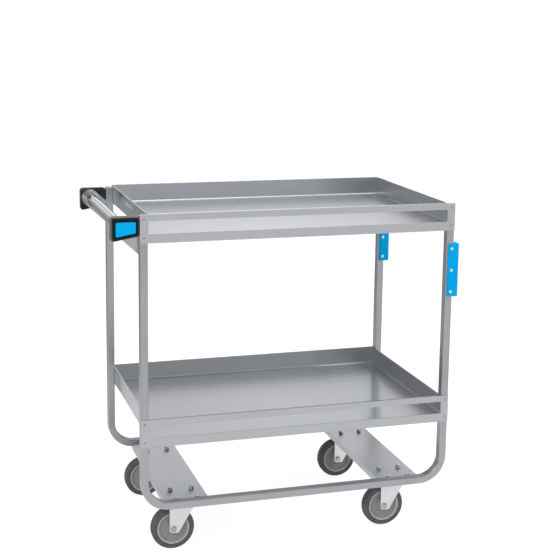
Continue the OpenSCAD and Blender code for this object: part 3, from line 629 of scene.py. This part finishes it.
def turned(name, outline, centre, steps):
    """A solid turned about the Y axis through centre; the outline is (radius, place along Y)."""
    body = bmesh.new()
    rings = []
    for step in range(steps):
        angle = 2 * math.pi * step / steps
        rings.append([body.verts.new((centre.x + p[0] * math.cos(angle), centre.y + p[1],
                                      centre.z + p[0] * math.sin(angle))) for p in outline])
    for first, second in zip(rings, rings[1:] + rings[:1]):
        for i in range(len(outline)):
            j = (i + 1) % len(outline)
            body.faces.new((first[i], first[j], second[j], second[i]))
    return link(name, finished_mesh(name, body, 35))


def ring_stack(name, rings):
    """Rings of points, one above the other, skinned into a shell with a closed base and top."""
    body = bmesh.new()
    made = [[body.verts.new(p) for p in ring] for ring in rings]
    for lower, upper in zip(made, made[1:]):
        for i in range(len(lower)):
            j = (i + 1) % len(lower)
            body.faces.new((lower[i], lower[j], upper[j], upper[i]))
    body.faces.new(list(reversed(made[0])))
    body.faces.new(made[-1])
    return finished_mesh(name, body, 40)


RING_STEPS = 36
RING_ANGLES = [2 * math.pi * i / RING_STEPS for i in range(RING_STEPS)]


def round_ring(radius, height):
    return [(radius * math.cos(angle), radius * math.sin(angle), height) for angle in RING_ANGLES]


def hexagon_ring(across, height, blend=0.0):
    """A ring on a hexagon that measures across over its flats; blend moves it towards its circle."""
    ring = []
    for angle in RING_ANGLES:
        off = (angle + math.pi / 6) % (math.pi / 3) - math.pi / 6
        radius = across / 2 / math.cos(off)
        radius = radius * (1 - blend) + across / 2 * blend
        ring.append((radius * math.cos(angle), radius * math.sin(angle), height))
    return ring


def headed(name, shank, length, rings):
    """A shank that runs down from the origin, with the rings of a head on it."""
    return ring_stack(name, [round_ring(shank / 2, -length), round_ring(shank / 2, 0)] + rings)


def round_head(head, rise, steps):
    """The rings of a round head; steps are (share of its radius, share of its rise)."""
    return [round_ring(head / 2 * wide, rise * high) for wide, high in steps]


def socket_screw(name, head, rise, shank, length, key):
    """A round-headed screw with a hexagon socket."""
    rings = round_head(head, rise, (
        (0.985, 0), (1, 0.12), (0.97, 0.38), (0.88, 0.66), (0.74, 0.88)))
    rings += [hexagon_ring(key * 1.12, rise), hexagon_ring(key, rise * 0.93),
              hexagon_ring(key, rise * 0.25), round_ring(key * 0.2, rise * 0.1)]
    return headed(name, shank, length, rings)


def domed_screw(name, head, rise, shank, length):
    """A smooth round dome on a shank."""
    angles = [share * math.pi / 2 for share in (0.0, 0.15, 0.35, 0.55, 0.72, 0.84, 0.94)]
    steps = [(0.96, 0)] + [(math.cos(angle), 0.12 + 0.88 * math.sin(angle)) for angle in angles]
    return headed(name, shank, length, round_head(head, rise, steps))


def axle_pin(name, head, rise, shank, length):
    """A washer and a round head with a dished face and a ring groove."""
    return headed(name, shank, length, round_head(head, rise, (
        (0.98, 0), (1, 0.05), (1, 0.2), (0.97, 0.24), (0.84, 0.25), (0.84, 0.82), (0.79, 0.95),
        (0.7, 1), (0.62, 0.98), (0.54, 0.82), (0.3, 0.8), (0.12, 0.8))))


def dimpled_rivet(name, head, rise, shank, length):
    """A flat round rivet head with a shallow dish in its middle."""
    return headed(name, shank, length, round_head(head, rise, (
        (0.98, 0), (1, 0.25), (0.94, 0.62), (0.78, 0.92), (0.6, 1), (0.42, 0.84), (0.2, 0.7))))


def domed_nut(name, across, hex_rise, dome):
    """A cap nut: washer face, chamfered hexagon and a round dome."""
    rings = [round_ring(across * 0.5, 0), hexagon_ring(across * 0.97, hex_rise * 0.06, blend=0.6),
             hexagon_ring(across, hex_rise * 0.16), hexagon_ring(across, hex_rise * 0.82),
             hexagon_ring(across, hex_rise, blend=0.75)]
    for share in (0.0, 0.2, 0.4, 0.6, 0.8, 0.93):
        rings.append(round_ring(across * 0.455 * math.cos(share * math.pi / 2),
                                hex_rise + dome * math.sin(share * math.pi / 2)))
    return ring_stack(name, rings)


# Node trees for what repeats or follows a path


def geometry_tree(name, inputs):
    tree = bpy.data.node_groups.new(name, "GeometryNodeTree")
    tree.interface.new_socket("Geometry", in_out="INPUT", socket_type="NodeSocketGeometry")
    for label, kind, value in inputs:
        socket = tree.interface.new_socket(label, in_out="INPUT", socket_type=kind)
        if value is not None:
            socket.default_value = value
    tree.interface.new_socket("Geometry", in_out="OUTPUT", socket_type="NodeSocketGeometry")
    return tree, tree.nodes.new("NodeGroupInput").outputs, tree.nodes.new("NodeGroupOutput").inputs


def set_pieces_tree():
    """Sets one shaped piece on every point, its top turned to the point's facing."""
    tree, given, out = geometry_tree("pieces_on_points", [
        ("Shape", "NodeSocketObject", None), ("Finish", "NodeSocketMaterial", None)])
    shape = node(tree, "GeometryNodeObjectInfo", {"Object": given["Shape"]})
    facing = node(tree, "GeometryNodeInputNamedAttribute", {"Name": "facing"}, data_type="FLOAT_VECTOR")
    turn = node(tree, "FunctionNodeAlignRotationToVector", {
        "Vector": facing.outputs["Attribute"]}, axis="Z")
    placed = node(tree, "GeometryNodeInstanceOnPoints", {
        "Points": given["Geometry"], "Instance": shape.outputs["Geometry"],
        "Rotation": turn.outputs["Rotation"]})
    real = node(tree, "GeometryNodeRealizeInstances", {"Geometry": placed.outputs[0]})
    finished = node(tree, "GeometryNodeSetMaterial", {
        "Geometry": real.outputs[0], "Material": given["Finish"]})
    tree.links.new(finished.outputs[0], out[0])
    return tree


def bead_tree():
    """Lays a rippled weld bead along every edge."""
    tree, given, out = geometry_tree("weld_bead_on_edges", [
        ("Width", "NodeSocketFloat", 0.004), ("Ripple Pitch", "NodeSocketFloat", 0.0022),
        ("Ripple Depth", "NodeSocketFloat", 0.00025), ("Wander", "NodeSocketFloat", 0.0004),
        ("Seed", "NodeSocketFloat", 3.0), ("Finish", "NodeSocketMaterial", None)])
    path = node(tree, "GeometryNodeMeshToCurve", {"Mesh": given["Geometry"]})
    spacing = math_node(tree, "MULTIPLY", given["Ripple Pitch"], 0.25)
    even = node(tree, "GeometryNodeResampleCurve", {
        "Curve": path.outputs[0], "Length": spacing}, mode="LENGTH")
    along = node(tree, "GeometryNodeSplineParameter")
    kept = tree.nodes.new("GeometryNodeCaptureAttribute")
    kept.capture_items.new("FLOAT", "Along")
    tree.links.new(even.outputs[0], kept.inputs["Geometry"])
    tree.links.new(along.outputs["Length"], kept.inputs["Along"])
    radius = math_node(tree, "MULTIPLY", given["Width"], 0.5)
    round_profile = node(tree, "GeometryNodeCurvePrimitiveCircle", {"Resolution": 10, "Radius": radius})
    swept = node(tree, "GeometryNodeCurveToMesh", {
        "Curve": kept.outputs["Geometry"], "Profile Curve": round_profile.outputs["Curve"],
        "Fill Caps": True})
    turns = math_node(tree, "DIVIDE", kept.outputs["Along"], given["Ripple Pitch"])
    wave = math_node(tree, "SINE", math_node(tree, "MULTIPLY", turns, 2 * math.pi))
    rise = math_node(tree, "MULTIPLY", wave, given["Ripple Depth"])
    cloud = node(tree, "ShaderNodeTexNoise", {"Scale": 160.0, "W": given["Seed"]},
                 noise_dimensions="4D")
    lean = math_node(tree, "MULTIPLY", math_node(tree, "SUBTRACT", cloud.outputs["Fac"], 0.5),
                     given["Wander"])
    outward = node(tree, "GeometryNodeInputNormal")
    lift = math_node(tree, "ADD", rise, lean)
    offset = node(tree, "ShaderNodeVectorMath", {0: outward.outputs[0], "Scale": lift}, operation="SCALE")
    moved = node(tree, "GeometryNodeSetPosition", {
        "Geometry": swept.outputs[0], "Offset": offset.outputs[0]})
    real = node(tree, "GeometryNodeRealizeInstances", {"Geometry": moved.outputs[0]})
    finished = node(tree, "GeometryNodeSetMaterial", {
        "Geometry": real.outputs[0], "Material": given["Finish"]})
    tree.links.new(finished.outputs[0], out[0])
    return tree


PIECES_ON_POINTS = set_pieces_tree()
BEAD_ON_EDGES = bead_tree()


def run_tree(name, mesh, tree, values):
    """Runs a node tree over a mesh and gives its result as a plain mesh piece."""
    source = link(name + "_source", mesh)
    modifier = source.modifiers.new("made", "NODES")
    modifier.node_group = tree
    for item in tree.interface.items_tree:
        if item.in_out == "INPUT" and item.name in values:
            modifier[item.identifier] = values[item.name]
    bpy.context.view_layer.update()
    graph = bpy.context.evaluated_depsgraph_get()
    result = bpy.data.meshes.new_from_object(source.evaluated_get(graph), depsgraph=graph)
    source.modifiers.remove(modifier)
    bpy.data.objects.remove(source)
    result.name = name
    return link(name, result)


def set_on_points(name, places, shape, finish):
    """Sets a shape on every place; places are (point, facing) pairs."""
    mesh = bpy.data.meshes.new(name + "_points")
    mesh.from_pydata([p for p, _ in places], [], [])
    facing = mesh.attributes.new("facing", "FLOAT_VECTOR", "POINT")
    facing.data.foreach_set("vector", [c for _, f in places for c in f])
    pattern = link(name + "_shape", shape)
    piece = run_tree(name, mesh, PIECES_ON_POINTS, {"Shape": pattern, "Finish": finish})
    bpy.data.objects.remove(pattern)
    smooth_with_corners(piece.data, 40)
    return piece


# Wheels


def both_sides(half, radii, steps):
    """A wheel's outline in metres from the half on one side of its middle."""
    points = half + [(r, -y) for r, y in reversed(half)]
    outline = rounded_outline(points, radii + radii[::-1], steps)
    return [(p[0] * MM, p[1] * MM) for p in outline]


def tyre_outline():
    inner, side, tread = 47.1, 16.0, 63.5  # radius at the hub, half width, outer radius
    half = [(inner, side - 1.0), (49.6, side - 1.0), (50.4, side), (58.5, side), (tread - 1.2, side - 4.5),
            (tread, side - 8.0)]
    return both_sides(half, [0.0, 0.5, 0.6, 3.0, 3.0, 6.0], 5)


# Radius from which the hub's rim takes a painted highlight, paler than the rest, in millimetres
HUB_LIP_R = 43.6


def hub_outline():
    half = [(8.9, 17.6), (12.2, 17.6), (12.2, 13.5), (19.3, 12.8), (19.3, 14.9), (23.4, 14.9), (25.0, 9.2),
            (36.6, 8.5), (38.4, 12.4), (43.4, 13.1), (44.3, 15.3), (47.0, 15.3)]
    return both_sides(half, [0.3, 0.8, 1.0, 1.0, 0.9, 0.9, 2.2, 2.2, 1.4, 1.0, 0.8, 0.4], 4)


def mark_lip(mesh, centre, inner):
    """Marks the raised lip of a turned piece, from the radius inner outwards, in its own attribute."""
    lip = mesh.attributes.new("lip", "FLOAT", "POINT")
    for vertex, value in zip(mesh.vertices, lip.data):
        value.value = float(math.hypot(vertex.co.x - centre.x, vertex.co.z - centre.z) > inner)


def box_middle(name):
    low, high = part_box(name)
    return (low + high) / 2


for corner in CORNERS:
    centre = box_middle("tyre_" + corner)
    tyre = turned("tyre_skin_" + corner, tyre_outline(), centre, 120)
    tyre.data.materials.append(TYRE_RUBBER)
    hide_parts("tyre_" + corner)
    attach(tyre, "wheel_" + corner)
    hub = turned("hub_rings_" + corner, hub_outline(), centre, 96)
    # The marked rim takes a painted highlight from the hub's finish
    mark_lip(hub.data, centre, HUB_LIP_R * MM)
    hub.data.materials.append(HUB_PLASTIC)
    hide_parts("hub_" + corner)
    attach(hub, "wheel_" + corner)


# Sizes that the pieces below take from the part, in millimetres

FRAME_L, FRAME_D, TUBE_W, TUBE_D = 933.0, 568.0, 22.2, 25.4
MID_X = 31.25
LEG_X, LEG_Y = (FRAME_L - TUBE_W) / 2, (FRAME_D - TUBE_D) / 2
UPPER_FLOOR, LOWER_FLOOR, WALL_H, LIP_H, GUARD_T = 945.5, 363.0, 54.5, 26.3, 1.5
BAR_X, BAR_Z, BAR_D, ARM_Y, ARM_W, FLANGE_T = -516.5, 965.5, 31.8, 261.6, 50.0, 2.4
# The swivel axes, and the bolts round each
SWIVEL_X, SWIVEL_Y = FRAME_L / 2 - 139.3, FRAME_D / 2 - TUBE_D - 49.2
BOLT_X, BOLT_Y = 63.5, 78.0
# Places of the rivets: below the tops of the walls, and below the bar's centre line
GUARD_RIVET_DROPS = (13.0, WALL_H + LIP_H - 15.3)
ARM_RIVET_DROPS = (56.5, 80.5)
BUMPER_SCREW_IN, BUMPER_PITCH = 6.5, 64.3
FLANGE_SCREW_TURN = 80
# Head across, rise of the head, shank across and, where all are alike, length of the shank
RIVET = (7.0, 1.4, 4.0)
GUARD_RIVET_L, ARM_RIVET_L = 3.0, 1.6
BUMPER_SCREW = (9.6, 2.4, 5.0, 16.3)
FLANGE_SCREW, FLANGE_SCREW_KEY = (6.4, 1.8, 3.6, 12.0), 2.4
AXLE_HEAD, AXLE_HEAD_H, AXLE_D = 18.0, 6.0, 12.0
# Flats across, rise of the hexagon and rise of the dome
CAP_NUT = (13.0, 6.0, 5.0)


def at(x, y, z):
    """A place given in millimetres from the middle of the frame, in metres in the part's own frame."""
    return Vector(((x + MID_X) * MM, y * MM, z * MM))


# Housings, insets and bumpers


def moved_in(points, distances):
    """A closed outline, listed anticlockwise, with each side moved inwards by its own distance."""
    out = []
    for i, corner in enumerate(points):
        lines = []
        for start, end, distance in ((points[i - 1], corner, distances[i - 1]),
                                     (corner, points[(i + 1) % len(points)], distances[i])):
            way = (Vector(end) - Vector(start)).normalized()
            inward = Vector((-way.y, way.x))
            lines.append((Vector(start) + inward * distance, way))
        (first, way_1), (second, way_2) = lines
        turn = way_1.x * way_2.y - way_1.y * way_2.x
        gap = second - first
        out.append(first + way_1 * ((gap.x * way_2.y - gap.y * way_2.x) / turn))
    return out


def round_over(radius, below):
    """How far a rounded edge has drawn in at a depth below the face that it rounds into."""
    reach = max(0.0, radius - below)
    return radius - math.sqrt(radius * radius - reach * reach)


BAR_OUT, HOUSING_PAST, HOUSING_H, HOUSING_LEG_H, LEG_TOP = 50.0, 30.0, 70.0, 55.5, 29.5
HOUSING_T, HOUSING_Y, INSET_T, INSET_SUNK = 19.4, FRAME_D / 2, 2.0, 0.8
HOUSING_OUTLINE = [(-HOUSING_PAST, LEG_TOP - HOUSING_H), (BAR_OUT, LEG_TOP - HOUSING_LEG_H),
                   (BAR_OUT, LEG_TOP), (-HOUSING_PAST, LEG_TOP)]
# Corner roundings, the roundings of the face's edges, and the rim round the inset, from the foot on
HOUSING_CORNERS = (11.0, 7.0, 13.0, 11.0)
HOUSING_EDGES = (4.0, 4.5, 6.0, 6.0)
HOUSING_RIM = (9.0, 9.0, 14.0, 12.5)
INSET_CORNER = 6.0
# How many rings of the housing lie outside its pocket, and of the inset below its rounded edge
OUTER_RINGS, INSET_RIM_RINGS = 12, 5


def mark_rings(mesh, size, marked):
    """Marks some rings of a stack, each of size points, in its "lip" attribute."""
    lip = mesh.attributes.new("lip", "FLOAT", "POINT")
    for index, value in enumerate(lip.data):
        value.value = float(index // size in marked)


def housing_ring(side, depth, distances, corners):
    """One ring of the housing: distances moves its sides inwards, depth is measured from its face."""
    outline = rounded_outline(moved_in(HOUSING_OUTLINE, distances), corners, 8)
    return [at(BAR_X + p[0], side * (HOUSING_Y - depth), BAR_Z + p[1]) for p in outline]


def housing_skin(side):
    """The dark block: rounded edges, and a sloping pocket edge round the inset."""
    rings = [housing_ring(side, HOUSING_T, (0.8,) * 4, HOUSING_CORNERS)]
    for depth in (HOUSING_T - 0.8, 6.0, 5.0, 4.0, 3.0, 2.2, 1.5, 0.9, 0.45, 0.15, 0.0):
        drawn = [round_over(r, depth) for r in HOUSING_EDGES]
        corners = [max(2.0, corner - d) for corner, d in zip(HOUSING_CORNERS, drawn)]
        rings.append(housing_ring(side, depth, drawn, corners))
    for depth, grown in ((0.0, 2.8), (0.25, 2.1), (1.9, 0.5), (INSET_T + INSET_SUNK, 0.0)):
        rim = [d - grown for d in HOUSING_RIM]
        rings.append(housing_ring(side, depth, rim, [INSET_CORNER + grown] * 4))
    mesh = ring_stack("housing_skin", rings)
    # The pocket's edge, the rings after the outer ones, takes painted shade and none of the painted
    # highlight
    mark_rings(mesh, len(rings[0]), range(OUTER_RINGS, len(rings)))
    return mesh


def inset_plate(side):
    """The coloured plate: a rounded rim round a face that dips a little."""
    rings = []
    for depth, drawn in ((INSET_T + INSET_SUNK, 0.1), (1.9, 0.1), (1.35, 0.3), (0.95, 0.8), (0.8, 1.5),
                         (0.95, 2.3), (1.15, 3.4)):
        corners = [max(1.5, INSET_CORNER - drawn)] * 4
        rings.append(housing_ring(side, depth, [d + drawn for d in HOUSING_RIM], corners))
    mesh = ring_stack("inset_plate", rings)
    # The rim below the rounded edge is dark with shade
    mark_rings(mesh, len(rings[0]), range(INSET_RIM_RINGS))
    return mesh


BUMPER_LAP, BUMPER_OUT, BUMPER_WALL, BUMPER_L, BUMPER_CLEAR = 18.5, 17.5, 3.6, 159.0, 0.1
BUMPER_BELOW = 39.5
BUMPER_Z = UPPER_FLOOR - LIP_H - BUMPER_BELOW - BUMPER_L / 2


def bumper_skin(side):
    """The block round a leg, open towards the cart, with rounded edges at both ends."""
    outer, inner = TUBE_D / 2 + BUMPER_WALL, TUBE_D / 2 + BUMPER_CLEAR
    back, end, seat = TUBE_W / 2 - BUMPER_LAP, TUBE_W / 2 + BUMPER_OUT, TUBE_W / 2 + BUMPER_CLEAR
    outline = [(back, -outer), (end, -outer), (end, outer), (back, outer), (back, inner), (seat, inner),
               (seat, -inner), (back, -inner)]
    corners = (1.6, 7.0, 7.0, 1.6, 0.8, 1.0, 1.0, 0.8)
    edge = 1.5
    rings = []
    for below in (0.0, 0.15, 0.45, 0.9, edge):
        drawn = round_over(edge, below)
        radii = [max(0.3, corner - drawn) for corner in corners]
        rings.append((below, rounded_outline(moved_in(outline, (drawn,) * 8), radii, 6)))
    whole = [(BUMPER_Z - BUMPER_L / 2 + below, ring) for below, ring in rings]
    whole += [(BUMPER_Z + BUMPER_L / 2 - below, ring) for below, ring in reversed(rings)]
    return ring_stack("bumper_skin", [
        [at(LEG_X + p[0], side * LEG_Y + p[1], z) for p in ring] for z, ring in whole])


def add_plastics():
    for side, end in ((-1, "front"), (1, "back")):
        for mesh, kind, finish in ((housing_skin(side), "housing", HOUSING_PLASTIC),
                                   (inset_plate(side), "inset", INSET_PLASTIC),
                                   (bumper_skin(side), "bumper", BUMPER_PLASTIC)):
            mesh.materials.append(finish)
            piece = link(kind + "_skin_" + end, mesh)
            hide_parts(kind + "_" + end)
            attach(piece, "cart")


add_plastics()


# Fasteners


def in_metres(sizes):
    return [size * MM for size in sizes]


def add_fasteners():
    rivet = dimpled_rivet("rivet_shape", *in_metres(RIVET), GUARD_RIVET_L * MM)
    places = [(at(x, -FRAME_D / 2 - GUARD_T, floor + WALL_H - drop), (0, -1, 0))
              for x in (-LEG_X, LEG_X) for floor in (UPPER_FLOOR, LOWER_FLOOR)
              for drop in GUARD_RIVET_DROPS]
    guard = set_on_points("guard_rivet_heads", places, rivet, RIVET_STEEL)
    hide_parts("guard_rivets")
    rivet = dimpled_rivet("rivet_shape", *in_metres(RIVET), ARM_RIVET_L * MM)
    places = [(at(-LEG_X, side * FRAME_D / 2, BAR_Z - drop), (0, side, 0))
              for side in (-1, 1) for drop in ARM_RIVET_DROPS]
    arms = set_on_points("arm_rivet_heads", places, rivet, RIVET_STEEL)
    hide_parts("arm_rivets")
    screw = domed_screw("screw_shape", *in_metres(BUMPER_SCREW))
    x, out = FRAME_L / 2 - BUMPER_SCREW_IN, TUBE_D / 2 + BUMPER_WALL
    places = [(at(x, side * (LEG_Y + face * out), BUMPER_Z + step * BUMPER_PITCH), (0, side * face, 0))
              for side in (-1, 1) for face in (-1, 1) for step in (-1, 0, 1)]
    bumpers = set_on_points("bumper_screw_heads", places, screw, SCREW_DOME)
    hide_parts("bumper_screws")
    screw = socket_screw("screw_shape", *in_metres(FLANGE_SCREW), FLANGE_SCREW_KEY * MM)
    reach = (BAR_D + ARM_W) / 4
    places = []
    for side in (-1, 1):
        for quarter in range(4):
            turn = math.radians(FLANGE_SCREW_TURN + 90 * quarter)
            places.append((at(BAR_X + reach * math.cos(turn), side * (ARM_Y - FLANGE_T),
                              BAR_Z + reach * math.sin(turn)), (0, -side, 0)))
    flange = set_on_points("flange_screw_heads", places, screw, FASTENER)
    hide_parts("flange_screws")
    nut = domed_nut("nut_shape", *in_metres(CAP_NUT))
    seat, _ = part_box("caster_nuts")
    places = [(at(sx * SWIVEL_X + bx, sy * SWIVEL_Y + by, seat.z / MM), (0, 0, 1))
              for sx in (-1, 1) for sy in (-1, 1)
              for bx in (-BOLT_X / 2, BOLT_X / 2) for by in (-BOLT_Y / 2, BOLT_Y / 2)]
    nuts = set_on_points("caster_cap_nuts", places, nut, NUT_STEEL)
    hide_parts("caster_nuts")
    rise = AXLE_HEAD_H * MM
    for corner in CORNERS:
        low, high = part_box("axle_bolt_" + corner)
        middle = box_middle("axle_bolt_" + corner)
        pin = axle_pin("pin_shape", AXLE_HEAD * MM, rise, AXLE_D * MM, high.y - low.y - rise)
        places = [(Vector((middle.x, low.y + rise, middle.z)), (0, -1, 0))]
        bolt = set_on_points("axle_pin_" + corner, places, pin, AXLE_STEEL)
        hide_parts("axle_bolt_" + corner)
        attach(bolt, "swivel_" + corner)
    for piece, slot_name in ((guard, "fastener"), (arms, "fastener"), (bumpers, "fastener"),
                             (flange, "fastener"), (nuts, "caster_metal")):
        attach(piece, "cart")


add_fasteners()


# Welds


# Ends and height of the beads between channels and rails, the span above the floor of those
# between walls and legs, and the span below the bar of those on the arms
CHANNEL_BEAD, CHANNEL_BEAD_Z = (-61, 61), 158.7
WALL_BEAD = (4, 26)
ARM_BEAD = (20, 72)


def add_welds():
    points, edges = [], []

    def bead(start, end):
        points.extend((start, end))
        edges.append((len(points) - 2, len(points) - 1))

    rail_y = FRAME_D / 2 - TUBE_D
    for middle in (-SWIVEL_X, SWIVEL_X):
        for side in (-1, 1):
            bead(*(at(middle + reach, side * rail_y, CHANNEL_BEAD_Z) for reach in CHANNEL_BEAD))
    inner = FRAME_L / 2 - TUBE_W
    for floor in (UPPER_FLOOR, LOWER_FLOOR):
        for side_x in (-1, 1):
            for side_y in (1, -1):
                bead(*(at(side_x * inner, side_y * rail_y, floor + rise) for rise in WALL_BEAD))
    for side in (-1, 1):
        bead(*(at(-FRAME_L / 2, side * ARM_Y, BAR_Z - drop) for drop in ARM_BEAD))
    mesh = bpy.data.meshes.new("bead_lines")
    mesh.from_pydata([tuple(p) for p in points], edges, [])
    welds = run_tree("weld_beads", mesh, BEAD_ON_EDGES, {
        "Width": 0.0034, "Ripple Pitch": 0.0024, "Ripple Depth": 0.00022, "Wander": 0.0005,
        "Seed": 3.0, "Finish": WELD_METAL})
    smooth_with_corners(welds.data, 60)
    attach(welds, "cart")


add_welds()
